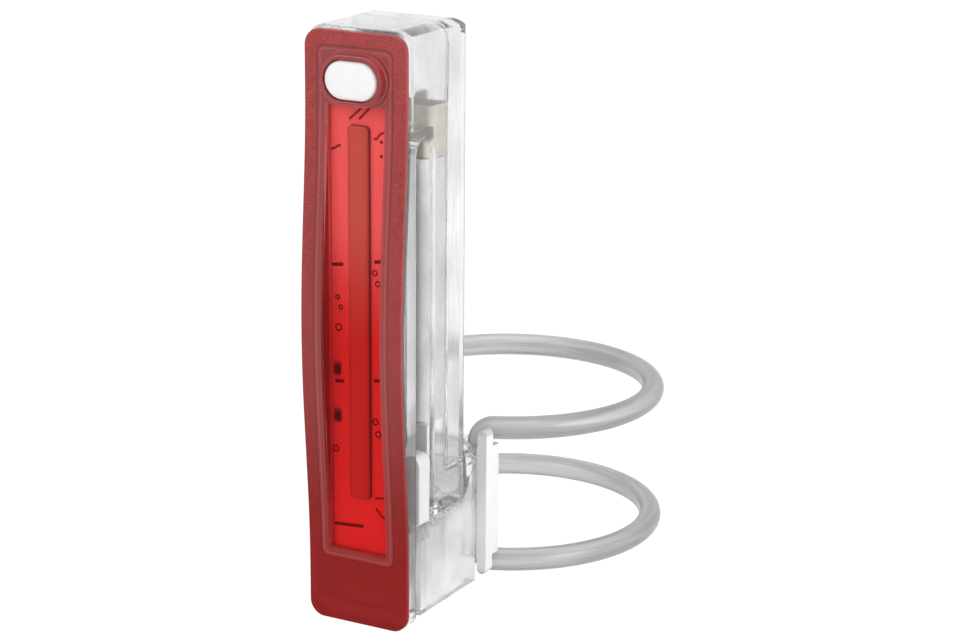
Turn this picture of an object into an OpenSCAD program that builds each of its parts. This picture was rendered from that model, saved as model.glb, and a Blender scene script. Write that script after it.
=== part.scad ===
// Clip-on rear light for a bicycle: a slim lamp folded into an upside-down U, the clear cradle that
// its back leg drops into, and the endless silicone strap that holds the cradle on a seat post.
// Frame: Z is the post's axis and Z = 0 lies halfway up the strap. The lens faces -Y.
// The lamp's own places are given from its foot: y = 0 at the lens's front edge, z = 0 at its foot.

/* [Lens] */
// Height of the lens
lens_h = 72.5; // [68:0.5:80]
// Width of the lens and of the lamp
lens_w = 13.7; // [13.4:0.1:16]
// Corner radius of the lens, seen from the front
lens_r = 2; // [1:0.1:3]
// Thickness of the lens along its rim
rim_t = 0.8; // [0.5:0.05:0.95]
// Thickness of the lens over the light bar
window_t = 0.65; // [0.4:0.05:0.7]
// How far the middle of the lens bows forward
bow = 1.4; // [0:0.05:2.5]
// Length of the stretch that bows
bow_l = 60; // [40:1:66]
// Width of the wall that stands behind the lens
skirt_w = 10.2; // [9.8:0.1:10.8]
// Thickness of that wall beside the light bar
skirt_t = 1.05; // [0.7:0.05:1.1]
// Height of the plain foot below that wall
foot_h = 8.1; // [7:0.1:10]
// Plain rim above that wall
brow_h = 1.8; // [1.4:0.1:2.2]

/* [Button] */
// Width of the button
button_w = 7.1; // [6:0.1:7.4]
// Height of the button
button_h = 4.6; // [3.6:0.1:4.8]
// Depth of the button's centre below the lens's top edge
button_drop = 5.55; // [5.3:0.05:6]
// How far the collar round the button stands out of the lens
collar_h = 1.2; // [0.4:0.05:1.8]
// Thickness of the collar
collar_t = 0.6; // [0.4:0.05:0.8]
// How far the flange reaches beyond the button
flange_over = 0.35; // [0.25:0.05:0.45]
// Thickness of the flange
flange_t = 0.25; // [0.15:0.05:0.3]
// Travel of the button
press = 0.2; // [0.1:0.05:0.25]
// Thickness of the sealing ring behind the button
boot_t = 0.45; // [0.3:0.05:0.5]
// Width of the switch
switch_w = 4; // [3.4:0.1:4.4]
// Height of the switch
switch_h = 2.8; // [2.4:0.1:3.2]
// Diameter of the switch's plunger
plunger_d = 1.6; // [1:0.1:2]

/* [Case] */
// Depth of the front leg at its foot
front_t = 2.9; // [2.8:0.05:3.6]
// Width of the slot between the two legs
slot_w = 3.3; // [3.1:0.05:5]
// Depth of the back leg
leg_t = 8.7; // [8.5:0.05:10]
// Height of the back leg's end above the foot
leg_up = 12.9; // [12:0.1:14]
// Height of the bridge over the slot
bridge_h = 13.1; // [12:0.1:14.5]
// How far the case rises above the lens
case_over = 0.4; // [0:0.1:1]
// Wall of the back leg and of the bridge
wall_t = 1.1; // [0.8:0.05:1.2]
// Wall behind the board of the front leg
tray_t = 1.1; // [0.8:0.05:1.2]
// Thickness of the back leg's closed end
floor_t = 1.4; // [1:0.1:2]
// Radius of the long back edges
back_r = 1.3; // [0.5:0.1:2]
// Radius of the top back corner, seen from the side
crown_r = 2.3; // [1:0.1:3]
// Radius of the back leg's end, seen from the side
heel_r = 3; // [1:0.1:3.2]
// Radius of the edges along the slot
slot_edge_r = 0.8; // [0.4:0.1:1]
// Depth of the back leg that is moulded with the front
shell_t = 3.55; // [3:0.05:4.5]
// Height of the back leg's end that is moulded with the front
heel_h = 5.1; // [4.5:0.1:7]
// How far the back cover's sides lie inside the case's sides
cover_inset = 0.1; // [0.05:0.01:0.3]

/* [Electronics] */
// Thickness of the light board
board_t = 0.6; // [0.5:0.05:0.7]
// Width of the light bar
bar_w = 2.85; // [2:0.05:3.5]
// Thickness of the light bar
bar_t = 0.6; // [0.3:0.05:0.65]
// Gap from the window's lower end to the light bar
bar_up = 6.75; // [5:0.05:8]
// Gap from the light bar to the window's upper end
bar_down = 2.45; // [1:0.05:4]
// Gap between the battery cell and the case's sides
cell_side = 0.55; // [0.3:0.05:1]
// Thickness of the battery cell
cell_t = 4.8; // [4:0.1:4.9]
// Radius of the battery cell's long edges
cell_r = 1.6; // [0.5:0.1:1.9]
// Gap between the battery cell and the bottom of the leg's hollow
cell_up = 10; // [9.8:0.1:12]
// Height of the taped board on top of the cell
tape_h = 6.2; // [5.8:0.1:6.4]
// Thickness of the taped board
tape_t = 4.2; // [3.4:0.1:4.4]
// Radius of the taped board's long edges
tape_r = 0.7; // [0.3:0.1:1.5]
// How far the taped board rises above the slot's top
tape_rise = 3.3; // [2:0.1:4]
// Width of the flexible ribbon
flex_w = 4; // [3:0.1:5]
// Thickness of the flexible ribbon
flex_t = 0.15; // [0.1:0.01:0.2]
// How far the ribbon passes above the tape
flex_rise = 1.2; // [0.8:0.1:2]
// How far above the socket the ribbon turns to the charging board
flex_turn = 1.6; // [1.2:0.1:2]
// Length of the ribbon that lies on the charging board
flex_tail = 1.2; // [0.8:0.1:1.5]
// Thickness of the charging board
charge_t = 0.8; // [0.6:0.05:0.9]
// Width of the charging socket
socket_w = 8.94; // [8.5:0.01:9.2]
// Thickness of the charging socket
socket_t = 3.16; // [3:0.01:3.3]
// Length of the charging socket
socket_l = 6.8; // [6:0.1:7]

/* [Cradle] */
// Width of the cradle
cradle_w = 14; // [13.8:0.1:17]
// Height of the cradle's underside above the lamp's foot
base_up = 1.35; // [1:0.05:3]
// Thickness of the back wall
back_t = 1.7; // [1.6:0.05:3]
// Height of the back wall above the pocket's floor
back_h = 7.25; // [6:0.05:10]
// Radius of the back wall's top corners
back_corner_r = 3; // [1:0.1:4]
// Thickness of the tab in the slot
tab_t = 2.55; // [1.5:0.05:2.6]
// Height of the tab above the pocket's floor
tab_h = 8.75; // [6:0.05:10]
// Walls left round the hollows under the base
core_wall = 1.5; // [1:0.1:2]
// Rib between those hollows
core_rib = 1.2; // [0.8:0.1:1.6]
// Step between the back wall and the hook plate
neck_t = 0.35; // [0.2:0.05:1]
// Thickness of the hook plate
plate_t = 1.65; // [1.2:0.05:2.5]
// Thickness of the ears that hold the strap
ear_t = 1.3; // [0.8:0.05:2]
// How far the ears reach back beyond the plate
ear_d = 1.65; // [1.2:0.05:1.9]
// Half the height from horn tip to horn tip
horn_h = 9.4; // [8.6:0.1:11]
// Width of the saddle that rests on the post
saddle_w = 7.2; // [5:0.1:7.4]

/* [Strap] */
// Diameter of the post that the strap is drawn round
post_d = 34.9; // [33:0.1:38]
// Diameter of the strap's cord
strap_d = 2.9; // [2.4:0.05:3]
// Depth of the flat that lies on the post
strap_flat = 0.1; // [0.05:0.01:0.3]
// Distance between the two strands
strap_pitch = 17.5; // [16.5:0.1:19]
// Height of the strap's middle above the lamp's foot
strap_up = 11.6; // [11:0.05:13]
// Radius of the bends at the ears
bend_r = 1.9; // [1.7:0.05:2.2]
// Angle from the middle, round the post, at which each bend starts
end_angle = 22.4; // [22:0.1:24]

/* [Clearances] */
// Between the lamp and the cradle
lamp_gap = 0.15; // [0.1:0.01:0.25]
// Between parts inside the lamp
part_gap = 0.1; // [0.05:0.01:0.12]
// Between the strap and the cradle
strap_gap = 0.15; // [0.1:0.01:0.2]

/* [Hidden] */
$fn = 64;
eps = 0.01;

// Depths inside the front leg
tray_y = front_t - tray_t;
board_y = tray_y - board_t;
skirt_y = tray_y - part_gap / 2;
flange_y1 = board_y - boot_t - press - part_gap / 2;
flange_y0 = flange_y1 - flange_t;
switch_t = boot_t - part_gap / 2;
// Heights on the front leg
case_h = lens_h + case_over;
skirt_z1 = lens_h - brow_h;
button_z = lens_h - button_drop;
collar_full_h = button_h + 2 * (part_gap + collar_t);
room_w = skirt_w - 2 * skirt_t;
room_z0 = foot_h + skirt_t;
room_z1 = button_z - collar_full_h / 2;
bar_z0 = room_z0 + bar_up;
bar_z1 = room_z1 - bar_down;
board_w = room_w - 2 * part_gap;
board_z0 = room_z0 + part_gap;
board_z1 = skirt_z1 - skirt_t - part_gap;
// Back leg and bridge
slot_top = case_h - bridge_h;
slot_y = front_t + slot_w / 2;
leg_y0 = front_t + slot_w;
leg_y1 = leg_y0 + leg_t;
seam_y = leg_y0 + shell_t;
heel_z = leg_up + heel_h;
hollow_w = lens_w - 2 * wall_t;
hollow_y0 = leg_y0 + wall_t;
hollow_y1 = leg_y1 - wall_t;
hollow_z0 = leg_up + floor_t;
hollow_z1 = case_h - wall_t;
bridge_z0 = slot_top + wall_t;
// Inside the back leg
board_rest = 2 * part_gap;
charge_y1 = hollow_y0 + board_rest + charge_t;
charge_z1 = hollow_z0 + cell_up - part_gap;
socket_y = charge_y1 + socket_t / 2;
socket_z0 = leg_up + 2 * part_gap;
socket_z1 = socket_z0 + socket_l;
socket_wall = 0.3;
socket_back = 0.8;
cell_w = hollow_w - 2 * cell_side;
cell_y0 = hollow_y0 + board_rest;
cell_y1 = cell_y0 + cell_t;
cell_z0 = hollow_z0 + cell_up;
tape_wall = 0.12;
tape_y = cell_y0 + cell_t / 2;
tape_z1 = slot_top + tape_rise;
tape_z0 = tape_z1 - tape_h;
cell_z1 = tape_z0 - part_gap;
tab_metal_t = 0.1;
guard_t = 0.6;
flex_seat = part_gap / 10 + flex_t / 2;
flex_side = 0.3;
flex_back_y = cell_y1 + flex_seat;
flex_top_z = tape_z1 + flex_rise;
flex_low_z = socket_z1 + flex_turn;
// Cradle
pocket_z = leg_up - lamp_gap;
base_y0 = front_t + lamp_gap;
back_y0 = leg_y1 + lamp_gap;
back_y1 = back_y0 + back_t;
plate_y0 = back_y1 + neck_t;
plate_y1 = plate_y0 + plate_t;
core_y = (base_y0 + back_y1) / 2;
// Strap, and the ears that its bends hook behind
strap_r = strap_d / 2;
ring_r = post_d / 2 + strap_r - strap_flat;
strand_z = strap_pitch / 2;
bend_x = ring_r * sin(end_angle) - bend_r * cos(end_angle);
run_y = ring_r * cos(end_angle) + bend_r * sin(end_angle);
post_y = plate_y1 + strap_gap + strap_r + run_y;
ear_x0 = bend_x + strap_r + part_gap;
ear_x = ear_x0 + ear_t / 2;
ear_x1 = ear_x0 + ear_t;
ear_h = strand_z - strap_r - strap_gap;
bead_l = 0.4;
bead_h = 0.02;

// Forward bow of the lens at height z: one smooth raised-cosine wave, level at both ends
function bow_at(z) =
    abs(z - lens_h / 2) < bow_l / 2 ? bow / 2 * (1 + cos(360 * (z - lens_h / 2) / bow_l)) : 0;
bow_steps = 24;
levels = [0, for (i = [0:bow_steps]) lens_h / 2 - bow_l / 2 + bow_l * i / bow_steps, lens_h];

// Points of a path whose inner corners are rounded by radius r
function unit(v) = v / norm(v);
function corner_arc(a, b, c, r, n = 6) =
    let (
        u = unit(a - b), v = unit(c - b), half = acos(u * v) / 2,
        centre = b + unit(u + v) * r / sin(half),
        from = b + u * r / tan(half) - centre, to = b + v * r / tan(half) - centre,
        start = atan2(from.y, from.x), turn = (atan2(to.y, to.x) - start + 540) % 360 - 180
    )
    [for (i = [0:n]) centre + r * [cos(start + turn * i / n), sin(start + turn * i / n)]];
function rounded_path(p, r) = [
    p[0],
    for (i = [1:len(p) - 2]) each corner_arc(p[i - 1], p[i], p[i + 1], r),
    p[len(p) - 1],
];
function side_step(p, i) =
    let (d = unit(p[min(i + 1, len(p) - 1)] - p[max(i - 1, 0)])) [-d.y, d.x];

// Carries a profile drawn in (y, z) across the width w
module along_x(w) { rotate([90, 0, 90]) linear_extrude(w, center = true) children(); }
// Carries a profile drawn in (x, z) from y0 to y1
module along_y(y0, y1) { translate([0, y1, 0]) rotate([90, 0, 0]) linear_extrude(y1 - y0) children(); }
// Carries a profile drawn in (x, y) from z0 to z1
module along_z(z0, z1) { translate([0, 0, z0]) linear_extrude(z1 - z0) children(); }
// From the lamp's foot to the post's axis
module on_lamp() { translate([0, -post_y, -strap_up]) children(); }

module rounded_rect(w, h, r) {
    square([w - 2 * r, h], center = true);
    square([w, h - 2 * r], center = true);
    for (x = [-1, 1], y = [-1, 1]) translate([x * (w / 2 - r), y * (h / 2 - r)]) circle(r);
}
// Rectangle with half-round ends
module stadium(w, h) {
    square([w - h, h], center = true);
    for (x = [-1, 1]) translate([x * (w - h) / 2, 0]) circle(h / 2);
}
// What lies outside a round corner of radius r whose centre is the origin
module corner_waste(r) { difference() { square(r + 1); circle(r); } }
// Side view of all that lies behind the bowed surface at depth y, as far as depth y_back
module behind_bow(y, y_back) {
    polygon([[y_back, 0], for (z = levels) [y - bow_at(z), z], [y_back, lens_h]]);
}
module button_outline(grow) {
    translate([0, button_z]) stadium(button_w + 2 * grow, button_h + 2 * grow);
}
// A flat ribbon of thickness t along a rounded path
module ribbon(path, r, t) {
    p = rounded_path(path, r);
    last = len(p) - 1;
    polygon([
        for (i = [0:last]) p[i] + side_step(p, i) * t / 2,
        for (i = [last:-1:0]) p[i] - side_step(p, i) * t / 2,
    ]);
}

// Red lens: a bowed plate with a wall behind it, a window over the light bar and a button collar
module front_lens() {
    color([0.72, 0.1, 0.12, 0.85]) on_lamp() difference() {
        union() {
            intersection() {
                along_x(lens_w) difference() {
                    behind_bow(0, front_t);
                    behind_bow(rim_t, front_t + 1);
                }
                along_y(-bow - 1, front_t)
                    translate([0, lens_h / 2]) rounded_rect(lens_w, lens_h, lens_r);
            }
            intersection() {
                along_x(skirt_w) behind_bow(rim_t / 2, skirt_y);
                along_y(-bow - 1, front_t) translate([0, (foot_h + skirt_z1) / 2])
                    rounded_rect(skirt_w, skirt_z1 - foot_h, skirt_t);
            }
            along_y(-collar_h, rim_t / 2) button_outline(part_gap + collar_t);
        }
        intersection() {
            along_x(room_w) behind_bow(window_t, front_t);
            translate([-room_w / 2, -bow - 1, room_z0])
                cube([room_w, bow + front_t + 2, room_z1 - room_z0]);
        }
        translate([-room_w / 2, board_y - part_gap / 2, room_z1 - eps])
            cube([room_w, front_t, skirt_z1 - skirt_t - room_z1 + eps]);
        along_y(-collar_h - 1, front_t) button_outline(part_gap);
        along_y(flange_y0 - part_gap / 2, front_t) button_outline(flange_over + part_gap);
    }
}

// White button: a cap that stands level with its collar, on a flange that the lens keeps in
module button() {
    color("white") on_lamp() {
        along_y(-collar_h, flange_y1) button_outline(0);
        along_y(flange_y0, flange_y1) button_outline(flange_over);
    }
}

// Sealing ring that the button's flange presses on
module button_boot() {
    color("gainsboro") on_lamp() along_y(board_y - boot_t, board_y) difference() {
        button_outline(flange_over);
        translate([0, button_z])
            square([switch_w + 2 * part_gap, switch_h + 2 * part_gap], center = true);
    }
}

module switch_body() {
    color("silver") on_lamp() along_y(board_y - switch_t, board_y)
        translate([0, button_z]) difference() {
            square([switch_w, switch_h], center = true);
            circle(d = plunger_d + 2 * part_gap);
        }
}

// Plunger of the switch: it stands against the button's back and goes in with it
module switch_plunger() {
    color("dimgray") on_lamp() along_y(flange_y1, board_y - press - part_gap / 2)
        translate([0, button_z]) circle(d = plunger_d);
}

// Side view of the case: the front leg, the bridge and the back leg
module case_side() {
    difference() {
        polygon([
            [leg_y1, leg_up], [slot_y, leg_up], [slot_y, 0],
            for (z = levels) [rim_t - bow_at(z), z],
            [rim_t, case_h], [leg_y1, case_h],
        ]);
        translate([front_t, -1]) square([slot_w, slot_top - slot_w / 2 + 1]);
        translate([slot_y, slot_top - slot_w / 2]) circle(slot_w / 2);
        translate([leg_y1 - crown_r, case_h - crown_r]) corner_waste(crown_r);
        translate([leg_y1 - heel_r, leg_up + heel_r]) rotate(-90) corner_waste(heel_r);
    }
}
// Section of the case from above, with the back edges rounded
module case_plan(w) {
    depth = 2 * (leg_y1 + bow + 1);
    translate([0, leg_y1 - depth / 2]) rounded_rect(w, depth, back_r);
}
module case_outer(w) {
    intersection() {
        along_x(w) case_side();
        along_y(-bow - 1, leg_y1 + 1) translate([0, case_h / 2]) rounded_rect(lens_w, case_h, lens_r);
        along_z(-1, case_h + 1) case_plan(w);
    }
}
// Profile that rounds one edge of the slot, drawn from the slot's middle line towards one side
module slot_edge() {
    translate([slot_w / 2 - slot_edge_r, lens_w / 2 - slot_edge_r]) difference() {
        square(2 * slot_edge_r);
        translate([2 * slot_edge_r, 0]) circle(slot_edge_r);
    }
}
module slot_edges() {
    for (side = [0, 1]) mirror([side, 0, 0])
        translate([0, slot_y, slot_top - slot_w / 2]) {
            rotate([0, 90, 0]) rotate(90) rotate_extrude(angle = 180) slot_edge();
            for (leg = [0, 1]) mirror([0, leg, 0]) along_z(-case_h, 0) mirror([1, -1, 0]) slot_edge();
        }
}
module case_hollow() {
    translate([-hollow_w / 2, hollow_y0, hollow_z0])
        cube([hollow_w, hollow_y1 - hollow_y0, hollow_z1 - hollow_z0]);
    translate([-hollow_w / 2, front_t, bridge_z0])
        cube([hollow_w, hollow_y0 - front_t + eps, hollow_z1 - bridge_z0]);
}
module rear_zone() {
    translate([-lens_w, seam_y, heel_z]) cube([2 * lens_w, leg_t, case_h]);
}

// Clear case: the open tray behind the lens, the bridge, and the front half and heel of the back leg
module case_front() {
    color([0.93, 0.95, 0.96, 0.45]) on_lamp() difference() {
        case_outer(lens_w);
        slot_edges();
        rear_zone();
        case_hollow();
        // Tray for the wall behind the lens, and the way through its back for the ribbon
        translate([-skirt_w / 2 - part_gap, -bow - 1, foot_h - part_gap])
            cube([skirt_w + 2 * part_gap, tray_y + bow + 1, skirt_z1 - foot_h + 2 * part_gap]);
        translate([-flex_w / 2 - flex_side, tray_y - eps, bridge_z0])
            cube([flex_w + 2 * flex_side, front_t, board_z1 - bridge_z0]);
        // Mouth of the charging socket
        along_z(leg_up - 1, hollow_z0 + 1) translate([0, socket_y])
            stadium(socket_w + 2 * part_gap, socket_t + 2 * part_gap);
    }
}

// Clear cover of the back leg, welded on along the seam
module rear_cover() {
    color([0.9, 0.93, 0.95, 0.45]) on_lamp() difference() {
        intersection() {
            case_outer(lens_w - 2 * cover_inset);
            rear_zone();
        }
        case_hollow();
    }
}

module led_board() {
    color("white") on_lamp() along_y(board_y, tray_y)
        translate([0, (board_z0 + board_z1) / 2]) rounded_rect(board_w, board_z1 - board_z0, skirt_t / 2);
}

// Light bar: a row of light chips under one long strip of gel
module led_bar() {
    color("moccasin") on_lamp() along_y(board_y - bar_t, board_y)
        translate([0, (bar_z0 + bar_z1) / 2]) rounded_rect(bar_w, bar_z1 - bar_z0, bar_t);
}

resistor_count = 2;
resistor_size = [0.8, 1.6, 0.35];
resistor_gap = 0.45;
resistor_end = 10;
resistor_step = 5.8;
resistor_x = room_w / 2 - resistor_gap - resistor_size[0] / 2;

// Small resistors in a row, on the light bar's left
module board_resistors() {
    color("dimgray") on_lamp() for (i = [0:resistor_count - 1])
        translate([-resistor_x, board_y - resistor_size[2] / 2, bar_z0 + resistor_end + i * resistor_step])
            cube([resistor_size[0], resistor_size[2], resistor_size[1]], center = true);
}

// Flexible ribbon: from the light board's back through the bridge, then down behind the cell
// to the charging board
module main_flex() {
    board_end = tray_y + flex_seat;
    charge_end = charge_y1 + flex_seat;
    path = [
        [board_end, flex_top_z + 2 * flex_tail], [board_end, flex_top_z], [flex_back_y, flex_top_z],
        [flex_back_y, flex_low_z], [charge_end, flex_low_z], [charge_end, flex_low_z - flex_tail],
    ];
    color([0.88, 0.87, 0.84]) on_lamp() along_x(flex_w) ribbon(path, 0.5, flex_t);
}

// Pouch cell with round long edges and a thin sealed lip on top
lip_edge = 0.6;
lip_in = 0.4;
cell_lip = [cell_w - 2 * lip_edge, 0.3, 3];
lip_y = tape_y - tape_t / 2 + tape_wall + lip_in;
module battery_cell() {
    color("lightgray") on_lamp() {
        along_z(cell_z0, cell_z1) translate([0, (cell_y0 + cell_y1) / 2])
            rounded_rect(cell_w, cell_t, cell_r);
        translate([-cell_lip[0] / 2, lip_y, cell_z1 - eps])
            cube([cell_lip[0], cell_lip[1], cell_lip[2] + eps]);
    }
}

tab_size = [1.6, tab_metal_t, 4];
tab_x = 2.5;
tab_up = 0.5;
tabs_y = lip_y + cell_lip[1];
module battery_tabs() {
    color("silver") on_lamp() for (side = [-1, 1])
        translate([side * tab_x - tab_size[0] / 2, tabs_y, tape_z0 + tab_up]) cube(tab_size);
}

guard_end = 0.4;
module battery_board() {
    color("whitesmoke") on_lamp()
        translate([-cell_lip[0] / 2, tabs_y + tab_metal_t, tape_z0 + guard_end])
            cube([cell_lip[0], guard_t, tape_h - 2 * guard_end]);
}

// Amber tape wound round the cell's guard board
module battery_tape() {
    inner = 2 * tape_wall;
    color([0.66, 0.45, 0.2, 0.8]) on_lamp() along_z(tape_z0, tape_z1)
        translate([0, tape_y]) difference() {
            rounded_rect(cell_w, tape_t, tape_r);
            rounded_rect(cell_w - inner, tape_t - inner, tape_r - tape_wall);
        }
}

// Foam pad between the ribbon and the back cover
pad_edge = 1.3;
pad_end = 2.4;
pad_r = 1;
pad_y0 = flex_back_y + flex_seat;
module battery_pad() {
    color("whitesmoke") on_lamp() along_y(pad_y0, hollow_y1 - part_gap / 2)
        translate([0, (cell_z0 + cell_z1) / 2])
            rounded_rect(cell_w - 2 * pad_edge, cell_z1 - cell_z0 - 2 * pad_end, pad_r);
}

charge_edge = 0.3;
charge_w = hollow_w - 2 * charge_edge;
module charge_board() {
    color("whitesmoke") on_lamp() translate([-charge_w / 2, charge_y1 - charge_t, hollow_z0 + part_gap])
        cube([charge_w, charge_t, charge_z1 - hollow_z0 - part_gap]);
}

// Charger and driver chips, one on each side of the ribbon
chip_size = [2, 0.9, 2];
chip_side = 0.3;
chip_up = 0.7;
module charge_chips() {
    chip_x = flex_w / 2 + chip_side + chip_size[0] / 2;
    color("dimgray") on_lamp() for (side = [-1, 1])
        translate([side * chip_x - chip_size[0] / 2, charge_y1, socket_z1 + chip_up])
            cube(chip_size);
}

// Steel shell of the charging socket, open downwards
module charge_socket() {
    color("silver") on_lamp() translate([0, socket_y]) difference() {
        along_z(socket_z0, socket_z1) stadium(socket_w, socket_t);
        along_z(socket_z0 - 1, socket_z1 - socket_back)
            stadium(socket_w - 2 * socket_wall, socket_t - 2 * socket_wall);
    }
}

tongue_w = 6.69;
tongue_t = 0.7;
tongue_in = 1;
module socket_tongue() {
    color("black") on_lamp() along_z(socket_z0 + tongue_in, socket_z1 - socket_back)
        translate([0, socket_y]) square([tongue_w, tongue_t], center = true);
}

// Seal round the socket, on the inside of the leg's end
gasket_w = 0.6;
module socket_gasket() {
    color("lightgray") on_lamp() along_z(hollow_z0, hollow_z0 + gasket_w)
        translate([0, socket_y]) difference() {
            intersection() {
                stadium(socket_w + 2 * gasket_w, socket_t + 2 * gasket_w);
                translate([-socket_w, -socket_t / 2 + part_gap / 2]) square(2 * socket_w);
            }
            stadium(socket_w + part_gap / 5, socket_t + part_gap / 5);
        }
}

// Side view of the cradle's base, with the round seat for the leg's heel
module base_side() {
    seat_r = heel_r + lamp_gap;
    translate([base_y0, base_up]) square([back_y1 - base_y0, pocket_z - base_up]);
    translate([leg_y1 - heel_r, pocket_z - eps]) difference() {
        square([heel_r + lamp_gap + back_t, heel_r + lamp_gap + eps]);
        translate([0, seat_r + eps]) circle(seat_r);
    }
}
// Front view of an upright wall w wide whose top corners are rounded
module upright(w, z0, z1, r) {
    translate([-w / 2, z0]) square([w, z1 - z0 - r]);
    translate([-w / 2 + r, z0]) square([w - 2 * r, z1 - z0]);
    for (x = [-1, 1]) translate([x * (w / 2 - r), z1 - r]) circle(r);
}
module back_outline() { upright(cradle_w, base_up, pocket_z + back_h, back_corner_r); }
// Slanted lips along the back wall's sides, which keep the leg's round edges in the middle
module back_lips() {
    slant = lens_w / 2 + leg_y1 - 2 * back_r + sqrt(2) * (back_r + lamp_gap);
    half = cradle_w / 2;
    for (side = [0, 1]) mirror([side, 0])
        polygon([[half, slant - half], [half, back_y1], [slant - back_y0, back_y1],
            [slant - back_y0, back_y0]]);
}
// Plate behind the back wall, with ears that the strap's bends hook behind
neck_in = 0.5;
module hook_plate() {
    translate([0, 0, strap_up]) {
        along_y(back_y1 - eps, plate_y0 + eps)
            square([2 * (ear_x0 - neck_in), 2 * ear_h], center = true);
        along_y(plate_y0, plate_y1) {
            square([2 * ear_x1, 2 * ear_h], center = true);
            for (side = [-1, 1]) translate([side * ear_x, 0]) rotate(90) stadium(2 * horn_h, ear_t);
        }
        for (side = [-1, 1]) along_y(plate_y1 - eps, plate_y1 + ear_d)
            translate([side * ear_x, 0]) square([ear_t, 2 * ear_h], center = true);
        along_y(plate_y1 - eps, post_y) square([saddle_w, 2 * ear_h], center = true);
    }
}

// Clear cradle: base, tab, back wall, hook plate and saddle in one moulding
notch_d = 0.7;
notch_back = 0.4;
notch_h = 1.9;
core_w = cradle_w - 2 * core_wall;
core_top = pocket_z - core_wall;
module mount_cradle() {
    color([0.92, 0.94, 0.95, 0.45]) on_lamp() difference() {
        union() {
            along_x(cradle_w) base_side();
            along_y(base_y0, base_y0 + tab_t) upright(lens_w, base_up, pocket_z + tab_h, tab_t / 2);
            along_y(back_y0, back_y1) back_outline();
            intersection() {
                along_z(pocket_z + heel_r, pocket_z + back_h) back_lips();
                along_y(leg_y0, back_y1) back_outline();
            }
            hook_plate();
        }
        // Two hollows under the base, open downwards
        for (front = [0, 1]) {
            y0 = front == 1 ? base_y0 + core_wall : core_y + core_rib / 2;
            y1 = front == 1 ? core_y - core_rib / 2 : back_y1 - core_wall;
            translate([-core_w / 2, y0, base_up - 1]) cube([core_w, y1 - y0, core_top - base_up + 1]);
        }
        // Notches in the sides under the tab
        for (side = [-1, 1]) translate([side * cradle_w / 2 - notch_d, base_y0 - 1, pocket_z - notch_h])
            cube([2 * notch_d, tab_t - notch_back + 1, notch_h]);
        // The post's own room behind the saddle
        translate([0, post_y, strap_up])
            cylinder(h = 4 * ear_h, r = post_d / 2, center = true, $fn = 180);
    }
}

// Section of the strap's cord: round, with a flat on the side that lies on the post
module strap_section(grow = 0) {
    intersection() {
        circle(strap_r + grow);
        translate([strap_flat - strap_r - grow, -strap_d]) square(2 * strap_d);
    }
}
module strap_strand() {
    translate([0, 0, strand_z]) rotate(end_angle) rotate(-90)
        rotate_extrude(angle = 360 - 2 * end_angle, $fn = 180) translate([ring_r, 0]) strap_section();
}
// Upper half of one end: the moulding bead at the strand's end, the bend that turns it down,
// and half of the upright run
module strap_bend() {
    rotate(end_angle) translate([0, -ring_r, strand_z - bend_r]) {
        translate([bead_l / 4, 0, bend_r]) along_x(bead_l) rotate(180) strap_section(bead_h);
        rotate([90, 0, 0]) rotate(90) rotate_extrude(angle = 90)
            translate([bend_r, 0]) rotate(90) strap_section();
        translate([-bend_r, 0, bend_r - strand_z]) linear_extrude(strand_z - bend_r)
            rotate(-90) strap_section();
    }
}

// Endless silicone strap: two strands round the post, joined by a bend behind each ear
module strap() {
    color([0.8, 0.8, 0.8]) for (lower = [0, 1]) mirror([0, 0, lower]) {
        strap_strand();
        for (side = [0, 1]) mirror([side, 0, 0]) strap_bend();
    }
}

front_lens();
button();
button_boot();
switch_body();
switch_plunger();
case_front();
rear_cover();
led_board();
led_bar();
board_resistors();
main_flex();
battery_cell();
battery_tabs();
battery_board();
battery_tape();
battery_pad();
charge_board();
charge_chips();
charge_socket();
socket_tongue();
socket_gasket();
mount_cradle();
strap();
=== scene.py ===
# Bike rear light on its strap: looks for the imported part, seen as in the photograph.
# Lengths are millimetres in the sections and become metres at the mesh. The lamp's own places count
# from its foot: y = 0 at the lens's front edge, z = 0 at the lens's lower end.
import math

import bmesh
import bpy
import numpy as np
from mathutils import Matrix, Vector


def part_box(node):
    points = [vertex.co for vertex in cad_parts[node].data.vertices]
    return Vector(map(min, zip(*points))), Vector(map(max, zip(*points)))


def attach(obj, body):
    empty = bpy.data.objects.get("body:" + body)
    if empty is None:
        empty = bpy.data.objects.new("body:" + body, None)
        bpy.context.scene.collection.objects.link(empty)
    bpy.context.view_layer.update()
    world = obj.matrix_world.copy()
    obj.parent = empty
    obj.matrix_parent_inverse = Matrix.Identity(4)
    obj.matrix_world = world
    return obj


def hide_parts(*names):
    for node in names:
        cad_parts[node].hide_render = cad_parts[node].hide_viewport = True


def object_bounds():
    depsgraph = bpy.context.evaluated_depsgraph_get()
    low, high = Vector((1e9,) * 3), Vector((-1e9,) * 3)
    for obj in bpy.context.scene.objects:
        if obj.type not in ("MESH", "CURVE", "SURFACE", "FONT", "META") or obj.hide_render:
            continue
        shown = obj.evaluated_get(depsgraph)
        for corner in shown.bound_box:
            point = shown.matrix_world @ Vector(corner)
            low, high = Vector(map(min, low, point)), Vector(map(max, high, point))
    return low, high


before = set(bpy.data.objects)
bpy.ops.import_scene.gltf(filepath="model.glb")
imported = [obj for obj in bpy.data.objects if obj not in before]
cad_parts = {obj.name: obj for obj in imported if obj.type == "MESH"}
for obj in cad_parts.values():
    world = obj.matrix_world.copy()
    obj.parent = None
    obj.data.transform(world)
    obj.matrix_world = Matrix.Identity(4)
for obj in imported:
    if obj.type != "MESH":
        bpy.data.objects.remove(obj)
bounds_at_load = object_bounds()
scene = bpy.context.scene
scene.view_settings.view_transform = "Standard"
MM = 0.001

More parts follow.
